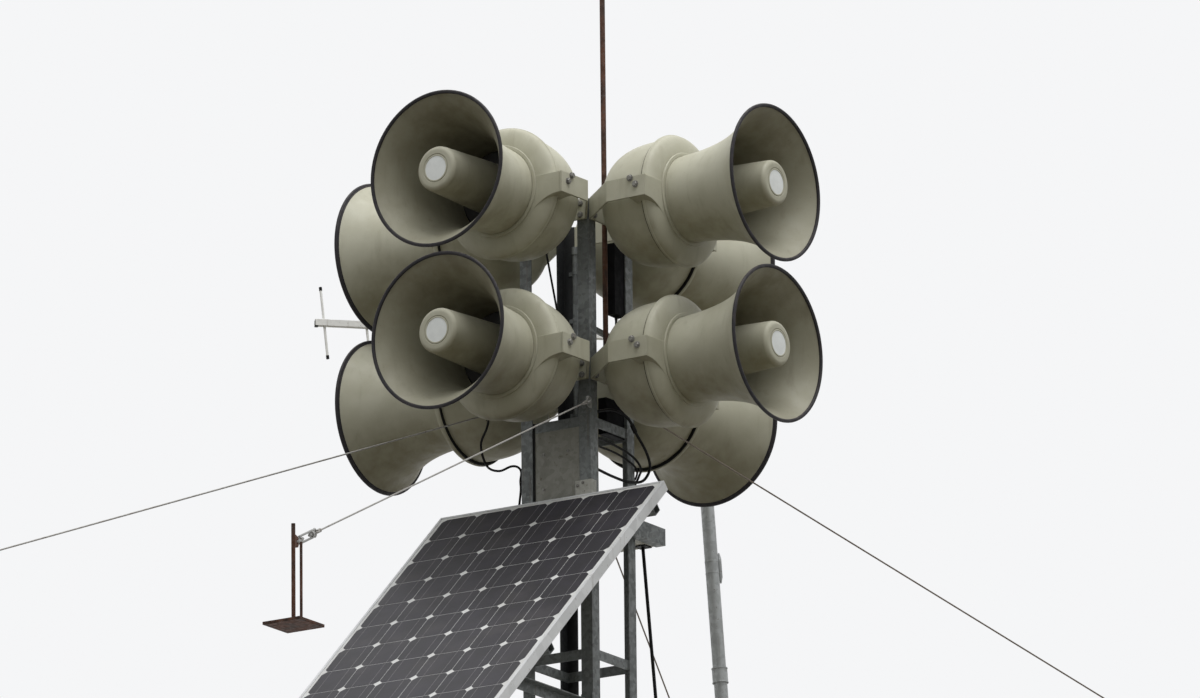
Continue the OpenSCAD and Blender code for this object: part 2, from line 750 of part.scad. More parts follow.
// Cables from the duct round the right leg: the highest one comes back to the duct,
// the others run down behind the leg into the tray.
duct_y = -duct_at;
duct_run_x = duct_at + duct_w / 2;
tray_floor = arm_z + arm_t + tray_t;
high_loop = [[duct_run_x, duct_y, 1748], [duct_run_x, -98, 1748], [160, -14, 1770], [176, 70, 1757],
  [186, 116, 1704], [196, 176, 1636], [194, 198, 1582], [182, 166, 1530], [162, 98, 1515],
  [146, 10, 1520], [duct_run_x, -98, 1534], [duct_run_x, duct_y, 1534]];
middle_loop = [[duct_run_x, duct_y, 1656], [duct_run_x, -98, 1656], [151, 40, 1640], [172, 118, 1613],
  [179, 160, 1577], [150, 190, 1556], [126, 186, 1490], [126, 186, tray_floor]];
low_loop = [[duct_run_x, duct_y, 1622], [duct_run_x, -98, 1622], [145, 20, 1617], [160, 102, 1597],
  [168, 146, 1572], [147, 170, 1544], [108, 163, 1496], [108, 163, tray_floor]];

// Cable from the lower left horn that hangs in a loop and runs down outside the left leg
arm_top = arm_z + arm_h;
left_from = [-305.7, -149.8, 1774.5];
left_out = [0.499, -0.672, -0.548];
left_start = 36;
left_loop = [left_from, left_from + left_start * left_out, [-322, -172, 1672], [-299, -170, 1590],
  [-225, -166, 1556], [-167, -134, 1588], [-163, -152, 1530], [-163, -144, 1480],
  [-172, -144, 1415], [-172, -144, arm_top]];

// Cables between the front yokes and between the two boxes, straight for a short way at each end
cable_lead = 60;
yoke_mid_y = -half_w - yoke_t / 2;
yoke_under = row_high_z - yoke_drop - yoke_h / 2;
yoke_over = row_low_z - yoke_drop + yoke_h / 2;
yoke_run = [[-40, yoke_mid_y, yoke_under], [-40, yoke_mid_y, yoke_under - cable_lead],
  [41, yoke_mid_y, yoke_over + cable_lead], [41, yoke_mid_y, yoke_over]];
box_run_x = box_at[0] + box_size[0] / 2;
box_run_y = box_at[1] + box_size[1] / 2;
low_box_top = low_box_at[2] + low_box_size[2];
box_run = [[box_run_x, box_run_y, box_z], [box_run_x, box_run_y, box_z - cable_lead],
  [box_run_x, box_run_y, low_box_top + cable_lead], [box_run_x, box_run_y, low_box_top]];

module horn_cables() {
  color(dark) {
    cable(high_loop, cable_d, [1, 0, 0]);
    cable(middle_loop, cable_d - 2, [1, 0, 0]);
    cable(low_loop, cable_d - 3, [1, 0, 0]);
    cable(left_loop, cable_d - 2, [0, 1, 0]);
    cable(yoke_run, cable_d - 3, [0, 1, 0]);
    cable(box_run, cable_d - 2, [0, 1, 0]);
  }
}

// Stiff lead from the underside of the tray to the ground, with a plate at both ends
lead_top = [114, 270, arm_z + arm_t];
lead_foot = [223, 270, 0];
lead_plate = [50, 50, 5];
module down_lead() {
  color(dark) {
    between(lead_foot + [0, 0, lead_plate[2] / 2], lead_top - [0, 0, lead_plate[2] / 2])
      cylinder(d = lead_d, h = norm(lead_top - lead_foot - [0, 0, lead_plate[2]]), $fn = 12);
    translate(lead_foot - [lead_plate[0] / 2, lead_plate[1] / 2, 0]) cube(lead_plate);
    translate(lead_top - [lead_plate[0] / 2, lead_plate[1] / 2, lead_plate[2]]) cube(lead_plate);
  }
}

base_plate();
mirror([0, 1, 0]) leg();  // leg_front
leg();  // leg_right
mirror([1, 0, 0]) leg();  // leg_back
rotate([0, 0, 180]) leg();  // leg_left
tie_bars();
face_sheet();
leg_bracket();
cable_boxes();
on_horn(0, row_low_z) bell();  // bell_right_lower
on_horn(90, row_low_z) bell();  // bell_back_lower
on_horn(180, row_low_z) bell();  // bell_left_lower
on_horn(270, row_low_z) bell();  // bell_front_lower
on_horn(0, row_high_z) bell();  // bell_right_upper
on_horn(90, row_high_z) bell();  // bell_back_upper
on_horn(180, row_high_z) bell();  // bell_left_upper
on_horn(270, row_high_z) bell();  // bell_front_upper
on_horn(0, row_low_z) horn_body();  // body_right_lower
on_horn(90, row_low_z) horn_body();  // body_back_lower
on_horn(180, row_low_z) horn_body();  // body_left_lower
on_horn(270, row_low_z) horn_body();  // body_front_lower
on_horn(0, row_high_z) horn_body();  // body_right_upper
on_horn(90, row_high_z) horn_body();  // body_back_upper
on_horn(180, row_high_z) horn_body();  // body_left_upper
on_horn(270, row_high_z) horn_body();  // body_front_upper
for_horns(row_low_z) horn_plug();  // plugs_lower
for_horns(row_high_z) horn_plug();  // plugs_upper
for (z = [row_low_z, row_high_z]) for_horns(z) plug_cap();  // plug_caps
for (z = [row_low_z, row_high_z]) for_horns(z) mouth_trim();  // mouth_trims
for (turn = turns) on_side(turn, row_low_z) yoke();  // yokes_lower
for (turn = turns) on_side(turn, row_high_z) yoke();  // yokes_upper
panel_frame();
panel_laminate();
panel_rails();
panel_arms();
panel_struts();
rear_tray();
lightning_rod();
rod_clamps();
antenna_pipe();
antenna_boom();
antenna_elements();
antenna_stay();
guy_eyes();
guy_wires();
turnbuckles();
guy_anchors();
cable_duct();
horn_cables();
down_lead();
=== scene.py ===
import math

import bpy
import bmesh
from mathutils import Matrix, Vector


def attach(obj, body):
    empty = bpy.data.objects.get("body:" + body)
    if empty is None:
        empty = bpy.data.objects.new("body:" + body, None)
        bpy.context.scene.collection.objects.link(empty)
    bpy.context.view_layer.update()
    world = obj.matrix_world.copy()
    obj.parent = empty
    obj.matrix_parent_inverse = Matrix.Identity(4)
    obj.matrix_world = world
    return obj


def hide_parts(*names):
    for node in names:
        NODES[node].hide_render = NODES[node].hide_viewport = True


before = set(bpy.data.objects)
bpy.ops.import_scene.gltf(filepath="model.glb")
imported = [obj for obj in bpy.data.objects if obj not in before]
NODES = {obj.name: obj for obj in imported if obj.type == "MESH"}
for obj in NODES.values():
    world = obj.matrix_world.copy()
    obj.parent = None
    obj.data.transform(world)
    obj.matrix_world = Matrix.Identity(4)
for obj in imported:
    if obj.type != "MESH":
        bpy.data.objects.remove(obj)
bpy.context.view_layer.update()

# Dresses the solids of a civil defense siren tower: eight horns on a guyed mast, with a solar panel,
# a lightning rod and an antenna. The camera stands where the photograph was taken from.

# Sizes shared with the solids, in metres
HALF_W = 0.154
LEG_W, LEG_T = 0.050, 0.005
TIE_LEVELS, TIE_H = (0.250, 0.790, 1.686), 0.038
BASE_TOP, BASE_BOLT = 0.012, 0.185
ROWS = {"lower": 1.910, "upper": 2.533}
TURNS = {"right": 0, "back": 90, "left": 180, "front": 270}
HORN_TURN = -2.2
NECK_S, NECK_R = 0.515, 0.163
LIP_S, LIP_R, BELL_T = 0.907, 0.295, 0.004
FLARE = 2.8
TRIM_R, TRIM_D = 0.293, 0.014
BODY_R, RIDGE_S, BACK_S = 0.253, 0.482, 0.205
SHELL_GAP, SHELL_FLAT = 0.015, 0.004
COLLAR_W, CHEEK_L, CHEEK_RING = 0.015, 0.075, 0.027
MOUTH_S = 0.914
PLUG_R, PLUG_ROOT_R, PLUG_ROUND = 0.086, 0.100, 0.018
CAP_R, CAP_DEPTH = 0.053, 0.003
YOKE_HALF, YOKE_T, YOKE_H, YOKE_DROP = 0.295, 0.008, 0.080, 0.007
PANEL_SLOPE = math.radians(42.6)
PANEL_TOP = (0.0, -(HALF_W + 0.0053 + 0.040 * math.sin(PANEL_SLOPE)), 1.411)
SHEET_LOW, SHEET_TOP = 1.126, 1.724

# Sizes that only the scene has, in metres, and its counts
SIDES = 144
SHELL_R, SHELL_POWER = 0.238, 3.0
CUFF_L, CUFF_T = 0.009, 0.0028
WASHER_T = 0.0025
ARM_BOLTS = ((0.476, 0.0), (0.452, 0.027))
ARM_PADS = ((0.500, 0.0), (0.497, -0.030))
YOKE_BOLT_Y, YOKE_BOLT_Z = 0.124, 0.022
COLUMNS, CELL_ROWS = 6, 10
CELL_PITCH, CELL_HALF, CELL_CORNER_R = 0.158, 0.078, 0.0985
CELL_FIRST, GLASS_OUT = 0.101, -0.00215
STRIP_X, STRIP_HALF = 0.039, 0.0011
PANEL_BOX, PANEL_LID = (0.13, 0.10, 0.030), (0.11, 0.08, 0.004)
PANEL_BOX_DOWN, PANEL_BOX_OUT, PANEL_LID_OUT = 0.32, -0.0225, -0.016
RUBBER_STRIP = (0.0088, 0.0040)

# Places of small pieces, in metres. CONDUIT is x, y, low and high, and STAKE is x, y and top.
SCREWS = ((-0.058, -0.149, 1.464), (0.098, -0.159, 1.455), (0.121, -0.159, 1.464), (-0.058, -0.149, 1.600),
          (0.050, -0.149, 1.600))
STRIP_AT = (-0.0995, -0.149)
CONDUIT = (-0.093, 0.139, 1.724, 2.480)
CONDUIT_TAB = (0.018, 0.1474)
BOOM = ((-1.4291, 0.3586, 2.4402), (-0.2554, 1.3254, 2.4069))
ELEMENTS = 8
ELEMENT_0 = ((-1.3903, 0.3886, 2.2996), (-1.4119, 0.3708, 2.5833))
ELEMENT_STEP = ((0.1276, 0.1053, -0.0070), (0.1271, 0.1047, -0.0011))
PIPE = ((-0.161, 1.379, 0.0), (-0.284, 1.301, 2.450))
COUPLING_L, SPLICE_L = 1.035, 1.46
SPLICE_WAY = (0.72, 0.69, 0.0)
STAKE = (1.338, -3.851, 0.290)
KNOT = (0.184, 0.108, 1.722)

# Camera fitted to the photograph: angles in radians, place in metres, focal length in pixels
YAW, PITCH, ROLL = 0.0022584691, 0.2659546694, -0.0103715592
CAMERA_TURN, CAMERA_AT = math.radians(32.41), (20.637, -32.506, -8.454)
FOCAL_PX, PHOTO_W, SENSOR = 10585.118, 1200, 36.0

# Floor and sky. The floor and the background have one colour for the camera and one for the light.
FLOOR_Z, FLOOR_HALF = 0.001, 60.0
FLOOR_LIT, FLOOR_SEEN = (0.125, 0.112, 0.075), (0.80, 0.80, 0.79)
SKY_LOW, SKY_TOP = (0.075, 0.064, 0.034), (1.0, 1.0, 1.0)
SKY = ((0.42, (0.095, 0.083, 0.048)), (0.52, (0.355, 0.35, 0.33)), (0.70, (0.80, 0.81, 0.82)))
SKY_POWER = 0.85
SKY_SEEN = (0.915, 0.92, 0.93)
LAMP_AT, LAMP_AIM, LAMP_D = (3.0, -1.5, 12.0), (0, 0, 2.0), 9.0
LAMP_POWER, LAMP_COLOUR = 1000.0, (1.0, 0.995, 0.985)

# Cables: diameter in metres, and the points of the route in millimetres
DUCT = (132, -119)
CABLES = {
    "high": (0.011, [(*DUCT, 1748), (132, -98, 1748), (160, -14, 1770), (176, 70, 1757), (186, 116, 1704),
                     (196, 176, 1636), (194, 198, 1582), (182, 166, 1530), (162, 98, 1515), (146, 10, 1520),
                     (132, -98, 1534), (*DUCT, 1534)]),
    "middle": (0.009, [(*DUCT, 1656), (132, -98, 1656), (151, 40, 1640), (172, 118, 1613), (179, 160, 1577),
                       (150, 190, 1556), (126, 186, 1490), (126, 186, 1311)]),
    "low": (0.008, [(*DUCT, 1622), (132, -98, 1622), (145, 20, 1617), (160, 102, 1597), (168, 146, 1572),
                    (147, 170, 1544), (108, 163, 1496), (108, 163, 1311)]),
    "left": (0.009, [(-305.7, -149.8, 1774.5), (-291, -169, 1759), (-292, -180, 1728), (-323, -172, 1670),
                     (-298, -170, 1587), (-245, -169, 1560), (-202, -152, 1575), (-176, -145, 1570),
                     (-161, -145, 1549), (-161, -151, 1512), (-164, -144, 1479), (-172, -144, 1415),
                     (-172, -144, 1369)]),
    "yoke": (0.008, [(-40, -158, 2486), (-40, -158, 2426), (41, -158, 2003), (41, -158, 1943)]),
    "box": (0.009, [(131, 71, 2159), (131, 71, 2099), (131, 71, 1880), (131, 71, 1820)]),
}


# Materials
class Nodes:
    """A node tree, with short calls that add one node and give it or its output.
    An input is named as its socket, or by its number after an underscore."""

    def __init__(self, owner):
        owner.use_nodes = True
        self.tree = owner.node_tree

    def add(self, kind, settings=None, **inputs):
        node = self.tree.nodes.new(kind)
        for key, value in (settings or {}).items():
            setattr(node, key, value)
        for key, value in inputs.items():
            socket = node.inputs[int(key[1:]) if key[0] == "_" else key.replace("_", " ")]
            if isinstance(value, bpy.types.NodeSocket):
                self.tree.links.new(value, socket)
            else:
                socket.default_value = value
        return node

    def math(self, operation, a, b):
        return self.add("ShaderNodeMath", {"operation": operation}, _0=a, _1=b).outputs[0]

    def end(self, factor, a, b, output):
        """Mixes two shaders into the output of the tree."""
        mix = self.add("ShaderNodeMixShader", _0=factor, _1=a, _2=b)
        self.tree.links.new(mix.outputs[0], self.tree.nodes[output].inputs["Surface"])


class Shader(Nodes):
    """The nodes of a material with one Principled shader."""

    def __init__(self, name, **values):
        self.material = bpy.data.materials.new(name)
        super().__init__(self.material)
        self.bsdf = self.tree.nodes["Principled BSDF"]
        for key, value in values.items():
            self.bsdf.inputs[key.replace("_", " ")].default_value = value
        self.place = self.add("ShaderNodeNewGeometry").outputs["Position"]

    def noise(self, scale, detail=4.0, stretch=None):
        at = self.place
        if stretch:
            at = self.add("ShaderNodeVectorMath", {"operation": "MULTIPLY"}, _0=at, _1=stretch).outputs[0]
        node = self.add("ShaderNodeTexNoise", Vector=at, Scale=scale, Detail=detail, Roughness=0.55)
        return node.outputs[0]

    def ramp(self, value, low, high, to_low=0.0, to_high=1.0):
        node = self.add("ShaderNodeMapRange", {"interpolation_type": "SMOOTHSTEP"}, Value=value)
        for key, number in zip(("From Min", "From Max", "To Min", "To Max"), (low, high, to_low, to_high)):
            node.inputs[key].default_value = number
        return node.outputs[0]

    def blend(self, factor, a, b):
        node = self.add("ShaderNodeMix", {"data_type": "RGBA"})
        for index, value in ((0, factor), (6, a), (7, b)):
            if isinstance(value, bpy.types.NodeSocket):
                self.tree.links.new(value, node.inputs[index])
            else:
                node.inputs[index].default_value = value if index == 0 else (*value, 1.0)
        return node.outputs[2]

    def up(self):
        """How far a surface looks up, from -1 to 1."""
        normal = self.add("ShaderNodeNewGeometry").outputs["Normal"]
        return self.add("ShaderNodeSeparateXYZ", Vector=normal).outputs[2]

    def finish(self, colour, roughness=None, height=None, depth=0.0, strength=0.0, edge=0.0):
        """Links the colour and the roughness, and rounds the edges and bumps the surface by a height."""
        links = self.tree.links
        links.new(colour, self.bsdf.inputs["Base Color"])
        if roughness is not None:
            links.new(roughness, self.bsdf.inputs["Roughness"])
        normal = None
        if edge:
            normal = self.add("ShaderNodeBevel", {"samples": 4}, Radius=edge).outputs[0]
        if height is not None:
            node = self.add("ShaderNodeBump", Strength=strength, Distance=depth, Height=height)
            if normal is not None:
                links.new(normal, node.inputs["Normal"])
            normal = node.outputs[0]
        if normal is not None:
            links.new(normal, self.bsdf.inputs["Normal"])
        return self.material


def paint(name, light, shade, grime_and_shade, edge=0.0):
    """Weathered satin paint: faint blotches and run-down streaks, and patchy painted shade on faces that look
    down.
    """
    s = Shader(name, Specular_IOR_Level=0.35)
    colour = s.blend(s.ramp(s.noise(7.0), 0.35, 0.65), light, shade)
    streak = s.ramp(s.noise(1.0, 3.0, (30.0, 30.0, 3.0)), 0.52, 0.78, 0.0, 0.22)
    colour = s.blend(streak, colour, grime_and_shade)
    patches = s.ramp(s.noise(14.0), 0.30, 0.70, 0.25, 0.60)
    # painted shade: faces that look down are darkened in patches towards the grime colour
    painted_shade_below = s.math("MULTIPLY", s.ramp(s.up(), -0.10, -0.95), patches)
    colour = s.blend(painted_shade_below, colour, grime_and_shade)
    specks = s.ramp(s.noise(130.0, 2.0), 0.69, 0.76, 0.0, 0.35)
    colour = s.blend(specks, colour, grime_and_shade)
    rough = s.ramp(s.noise(22.0), 0.3, 0.7, 0.46, 0.64)
    return s.finish(colour, rough, s.noise(260.0, 2.0), 0.0006, 0.2, edge)


def zinc(name, light, shade, metal, spangle=70.0, stain=(0.10, 0.075, 0.05), edge=0.0015, shaded_way=None):
    """Galvanised steel or aluminium: spangles, pale blotches, and brown stains that run down.
    Faces that look the shaded way get painted shade, near black."""
    s = Shader(name, Metallic=metal)
    cells = s.add("ShaderNodeTexVoronoi", Vector=s.place, Scale=spangle).outputs["Color"]
    grain = s.add("ShaderNodeSeparateXYZ", Vector=cells).outputs[0]
    factor = s.math("ADD", s.math("MULTIPLY", grain, 0.35), s.math("MULTIPLY", s.noise(9.0), 0.75))
    colour = s.blend(s.ramp(factor, 0.25, 0.85), light, shade)
    streak = s.ramp(s.noise(1.0, 4.0, (60.0, 60.0, 3.0)), 0.60, 0.78, 0.0, 0.55)
    colour = s.blend(streak, colour, stain)
    specks = s.ramp(s.noise(90.0, 3.0), 0.66, 0.72, 0.0, 0.7)
    colour = s.blend(specks, colour, stain)
    # painted shade: faces that look the given way are blended towards near black
    if shaded_way:
        normal = s.add("ShaderNodeNewGeometry").outputs["Normal"]
        facing = s.add("ShaderNodeVectorMath", {"operation": "DOT_PRODUCT"}, _0=normal, _1=shaded_way).outputs[1]
        colour = s.blend(s.ramp(facing, 0.3, 0.6, 0.0, 0.95), colour, (0.014, 0.015, 0.016))
    rough = s.ramp(grain, 0.0, 1.0, 0.42, 0.66)
    return s.finish(colour, rough, s.noise(180.0, 3.0), 0.0005, 0.25, edge)


def strand(name, clean, stained):
    """Stranded wire, which is browner on the guys behind the mast."""
    s = Shader(name, Metallic=0.4)
    across = s.add("ShaderNodeSeparateXYZ", Vector=s.place).outputs[1]
    colour = s.blend(s.ramp(across, 0.10, 0.30, 0.12, 0.85), clean, stained)
    colour = s.blend(s.ramp(s.noise(55.0, 4.0), 0.50, 0.70, 0.0, 0.6), colour, stained)
    twist = s.add("ShaderNodeTexWave", {"bands_direction": "Z"}, Vector=s.place, Scale=38.0, Distortion=1.5)
    return s.finish(colour, s.ramp(s.noise(80.0), 0.3, 0.7, 0.45, 0.70), twist.outputs[1], 0.0008, 0.5)


def rusty(name, bare, rust, dark):
    """Steel that has rusted all over, with a few duller bare spots."""
    s = Shader(name, Metallic=0.1)
    colour = s.blend(s.ramp(s.noise(30.0, 5.0, (1.0, 1.0, 0.35)), 0.40, 0.62), rust, dark)
    colour = s.blend(s.ramp(s.noise(75.0, 4.0), 0.60, 0.70, 0.0, 0.6), colour, bare)
    rough = s.ramp(s.noise(60.0), 0.3, 0.7, 0.65, 0.95)
    return s.finish(colour, rough, s.noise(240.0, 4.0), 0.0012, 0.5, 0.001)


def plastic(name, light, shade, rough, edge=0.0, shine=0.5):
    """Sun-faded plastic or rubber with dust on what looks up."""
    s = Shader(name, Specular_IOR_Level=shine)
    colour = s.blend(s.ramp(s.noise(24.0), 0.35, 0.65), light, shade)
    dust = s.math("MULTIPLY", s.ramp(s.up(), 0.35, 0.95, 0.0, 0.35), s.ramp(s.noise(60.0), 0.35, 0.65))
    colour = s.blend(dust, colour, (0.22, 0.20, 0.17))
    roughness = s.ramp(s.noise(45.0), 0.3, 0.7, rough - 0.08, rough + 0.12)
    return s.finish(colour, roughness, s.noise(320.0, 2.0), 0.0004, 0.3, edge)


def glass(name, light, shade, coat, rough=0.06):
    """Cell or backing sheet under flat glass: a coat over a dull, slightly cloudy layer."""
    s = Shader(name, Coat_Weight=coat, Coat_Roughness=rough, Coat_IOR=1.45, Roughness=0.6)
    colour = s.blend(s.ramp(s.noise(12.0), 0.35, 0.65), light, shade)
    dust = s.ramp(s.noise(5.0, 5.0), 0.48, 0.75, 0.0, 0.06)
    colour = s.blend(dust, colour, (0.30, 0.27, 0.24))
    return s.finish(colour)


# Cream colours: two random tones, and one colour for grime and for painted shade on faces that look down
CREAM = ((0.462, 0.455, 0.366), (0.414, 0.405, 0.317), (0.200, 0.174, 0.112))
ZINC = ((0.175, 0.188, 0.188), (0.108, 0.117, 0.117), 0.35)
M = {
    "cream": paint("cream_paint", *CREAM),
    "cream_edge": paint("cream_paint_plate", *CREAM, edge=0.003),
    # Paint inside the bells, darker than outside: partly dust, partly painted shade.
    "inside": paint("cream_paint_inside_dust_and_shade", (0.330, 0.320, 0.245), (0.290, 0.278, 0.208),
                    (0.140, 0.120, 0.076)),
    # A near-black disc in the neck of each bell: painted shade for the deep gap round the plug.
    "throat": paint("horn_throat_painted_shade", (0.016, 0.015, 0.012), (0.010, 0.009, 0.007), (0.008, 0.007, 0.005)),
    "trim": plastic("horn_trim", (0.019, 0.018, 0.022), (0.028, 0.025, 0.027), 0.60, shine=0.25),
    "cap": plastic("cap_plastic", (0.82, 0.85, 0.85), (0.76, 0.79, 0.79), 0.42),
    "zinc": zinc("zinc_steel", *ZINC),
    # The back leg's inner faces carry painted shade.
    "back_zinc": zinc("zinc_back_leg_painted_shade", *ZINC, shaded_way=(0.7, -0.7, 0)),
    "sheet": zinc("zinc_sheet", (0.250, 0.250, 0.222), (0.205, 0.204, 0.180), 0.1, 60.0),
    "pale_zinc": zinc("zinc_pale", (0.42, 0.42, 0.385), (0.34, 0.34, 0.31), 0.1, 90.0),
    "tray": zinc("zinc_tray", (0.78, 0.79, 0.77), (0.68, 0.69, 0.67), 0.05, 40.0),
    "pipe": zinc("zinc_pipe", (0.43, 0.45, 0.455), (0.33, 0.345, 0.35), 0.25, 60.0),
    "black": plastic("box_plastic", (0.004, 0.004, 0.005), (0.008, 0.008, 0.009), 0.65, 0.003, 0.06),
    "aluminium": zinc("panel_aluminium", (0.66, 0.67, 0.68), (0.56, 0.57, 0.58), 0.25, 15.0,
                      (0.30, 0.28, 0.25), 0.001),
    "backing": glass("panel_backing", (0.66, 0.67, 0.66), (0.58, 0.58, 0.57), 0.4),
    "cell": glass("panel_cell", (0.013, 0.011, 0.018), (0.007, 0.006, 0.010), 0.16, 0.22),
    "bus": zinc("panel_bus", (0.21, 0.205, 0.21), (0.15, 0.145, 0.15), 0.4, 120.0),
    "rust": rusty("rusty_steel", (0.10, 0.085, 0.075), (0.095, 0.038, 0.020), (0.040, 0.020, 0.013)),
    "antenna": zinc("antenna_metal", (0.88, 0.88, 0.86), (0.78, 0.78, 0.76), 0.1, 40.0,
                    (0.34, 0.31, 0.26)),
    "guy": zinc("guy_steel", (0.36, 0.36, 0.35), (0.24, 0.24, 0.235), 0.5, 120.0,
                (0.16, 0.12, 0.08), 0.0005),
    "wire": strand("guy_wire", (0.33, 0.325, 0.31), (0.115, 0.085, 0.060)),
    "bolt": zinc("bolt_steel", (0.26, 0.255, 0.24), (0.16, 0.155, 0.145), 0.5, 150.0,
                 (0.10, 0.06, 0.035), 0.0008),
    "rubber": plastic("cable_rubber", (0.005, 0.005, 0.005), (0.009, 0.009, 0.009), 0.52, shine=0.12),
}


# Mesh helpers
def mesh_of(name, bm, finishes, sharp=32):
    """Makes a mesh of a bmesh. Finishes are names in M, and the faces' indices refer to them."""
    mesh = bpy.data.meshes.new(name)
    bmesh.ops.remove_doubles(bm, verts=bm.verts, dist=1e-6)
    bm.to_mesh(mesh)
    bm.free()
    for key in finishes:
        mesh.materials.append(M[key])
    mesh.polygons.foreach_set("use_smooth", [True] * len(mesh.polygons))
    mesh.set_sharp_from_angle(angle=math.radians(sharp))
    return mesh


def put(name, data, place=Matrix()):
    """Adds a piece of the scene, which rides on the part's one body."""
    obj = bpy.data.objects.new(name, data)
    bpy.context.scene.collection.objects.link(obj)
    obj.matrix_world = place
    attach(obj, "root")
    return obj


def piece(name, bm, finish):
    put(name, mesh_of(name, bm, [finish]))


def lathe(bm, profile, sides, finish=0):
    """Turns a profile of radius and distance round +X."""
    rings = []
    for r, x in profile:
        if r < 1e-6:
            rings.append([bm.verts.new((x, 0, 0))])
            continue
        angles = [2 * math.pi * k / sides for k in range(sides)]
        rings.append([bm.verts.new((x, r * math.sin(a), r * math.cos(a))) for a in angles])
    for low, high in zip(rings, rings[1:]):
        for k in range(sides):
            quad = [low[k % len(low)], low[(k + 1) % len(low)],
                    high[(k + 1) % len(high)], high[k % len(high)]]
            corners = [v for i, v in enumerate(quad) if v not in quad[:i]]
            if len(corners) > 2:
                bm.faces.new(corners).material_index = finish


def frame_at(origin, along):
    """A place whose +Z runs along a direction."""
    z = Vector(along).normalized()
    x = Vector((0, 0, 1)).cross(z)
    if x.length < 1e-4:
        x = Vector((1, 0, 0)).cross(z)
    x.normalize()
    return Matrix.Translation(Vector(origin)) @ Matrix((x, z.cross(x), z)).transposed().to_4x4()


def block(bm, size, place, bevel=0.0):
    """A box centred on a place, with rounded edges."""
    made = bmesh.ops.create_cube(bm, size=1.0, matrix=place @ Matrix.Diagonal((*size, 1.0)))
    if bevel:
        edges = list({e for v in made["verts"] for e in v.link_edges})
        bmesh.ops.bevel(bm, geom=edges, offset=bevel, segments=2, affect="EDGES", profile=0.6)


def rod(bm, radius, length, place, sides, top=None):
    """A round bar from a place along its +Z, or a cone with another radius at its top."""
    bmesh.ops.create_cone(
        bm, segments=sides, radius1=radius, radius2=radius if top is None else top, depth=length,
        cap_ends=True, matrix=place @ Matrix.Translation((0, 0, length / 2)))


def ring(bm, major, minor, place, around, section):
    """A round ring whose axis is a place's +Z."""
    rows = []
    for i in range(around):
        a = 2 * math.pi * i / around
        row = []
        for j in range(section):
            b = 2 * math.pi * j / section
            r = major + minor * math.cos(b)
            at = Vector((r * math.cos(a), r * math.sin(a), minor * math.sin(b)))
            row.append(bm.verts.new(place @ at))
        rows.append(row)
    for i in range(around):
        for j in range(section):
            n, m = (i + 1) % around, (j + 1) % section
            bm.faces.new((rows[i][j], rows[n][j], rows[n][m], rows[i][m]))


def bolt(bm, origin, along, flats=0.019, head=0.008, washer=0.013, turn=0.0):
    """A hexagon head with a chamfered top on a washer."""
    place = frame_at(origin, along) @ Matrix.Rotation(turn, 4, "Z")
    rod(bm, washer, WASHER_T, place, 32)
    corner, straight = flats / math.sqrt(3), head * 0.8
    seat = place @ Matrix.Translation((0, 0, WASHER_T))
    rod(bm, corner, straight, seat, 6)
    rod(bm, corner, head * 0.2, seat @ Matrix.Translation((0, 0, straight)), 6, corner * 0.86)


# Horns, each modelled along +X from the axis of the mast
def bell_radius(s):
    u = (s - NECK_S) / (LIP_S - NECK_S)
    return NECK_R + (LIP_R - NECK_R) * (math.exp(FLARE * u) - 1) / (math.exp(FLARE) - 1)


def bell_mesh():
    """The bell's outside and inside, and a near-black disc in its neck that is painted shade."""
    bm = bmesh.new()
    steps = 36
    line = [NECK_S + (LIP_S - NECK_S) * i / steps for i in range(steps + 1)]
    lathe(bm, [(bell_radius(s), s) for s in line], SIDES)
    lathe(bm, [(bell_radius(s) - BELL_T, s) for s in reversed(line)], SIDES, 1)
    # painted shade: a near-black disc closes the neck
    disc = [(NECK_R - BELL_T, NECK_S), (NECK_R - 0.010, NECK_S + 0.004), (0, NECK_S + 0.0015)]
    lathe(bm, disc, SIDES, 2)
    return mesh_of("bell", bm, ["cream", "inside", "throat"])


def trim_mesh():
    """A round trim on the lip, and a thin cuff behind it."""
    bm = bmesh.new()
    place = Matrix.Translation((LIP_S, 0, 0)) @ Matrix.Rotation(math.pi / 2, 4, "Y")
    ring(bm, TRIM_R, TRIM_D / 2, place, SIDES, 16)
    steps = 6
    line = [LIP_S - CUFF_L * (1 - i / steps) for i in range(steps + 1)]
    cuff = [(bell_radius(line[0]) + 0.0003, line[0])] + [(bell_radius(s) + CUFF_T, s) for s in line]
    lathe(bm, cuff, SIDES)
    return mesh_of("trim", bm, ["trim"])


def shell_profile():
    """The rear shell, the flange of the front dome, the dome and the collar round the neck."""
    shell_s = RIDGE_S - SHELL_GAP
    steps, dome_steps = 40, 24
    out = [(0, BACK_S)]
    for i in range(steps + 1):
        s = shell_s - (shell_s - BACK_S) * math.cos(math.pi / 2 * i / steps)
        depth = (shell_s - s) / (shell_s - BACK_S + SHELL_FLAT)
        out.append((SHELL_R * (1 - depth ** SHELL_POWER) ** (1 / SHELL_POWER), s))
    # flange with rounded shoulders
    out.append((SHELL_R, RIDGE_S - 0.0115))
    for a, b in ((0.0025, 0.0113), (0.0005, 0.0090), (0, 0.0065), (0, 0.0030), (0.0008, 0.0008), (0.0025, 0)):
        out.append((BODY_R - a, RIDGE_S - b))
    collar_r = NECK_R + COLLAR_W
    dome_r = BODY_R - 0.003 - collar_r
    for i in range(1, dome_steps + 1):
        a = math.pi / 2 * i / dome_steps
        out.append((collar_r + dome_r * math.cos(a), RIDGE_S + (NECK_S - RIDGE_S) * math.sin(a)))
    # collar with rounded edges
    out += [(collar_r, NECK_S + 0.004), (collar_r - 0.0015, NECK_S + 0.0058),
            (NECK_R + 0.002, NECK_S + 0.006), (NECK_R + 0.0006, NECK_S + 0.0045), (NECK_R + 0.0005, NECK_S)]
    return out


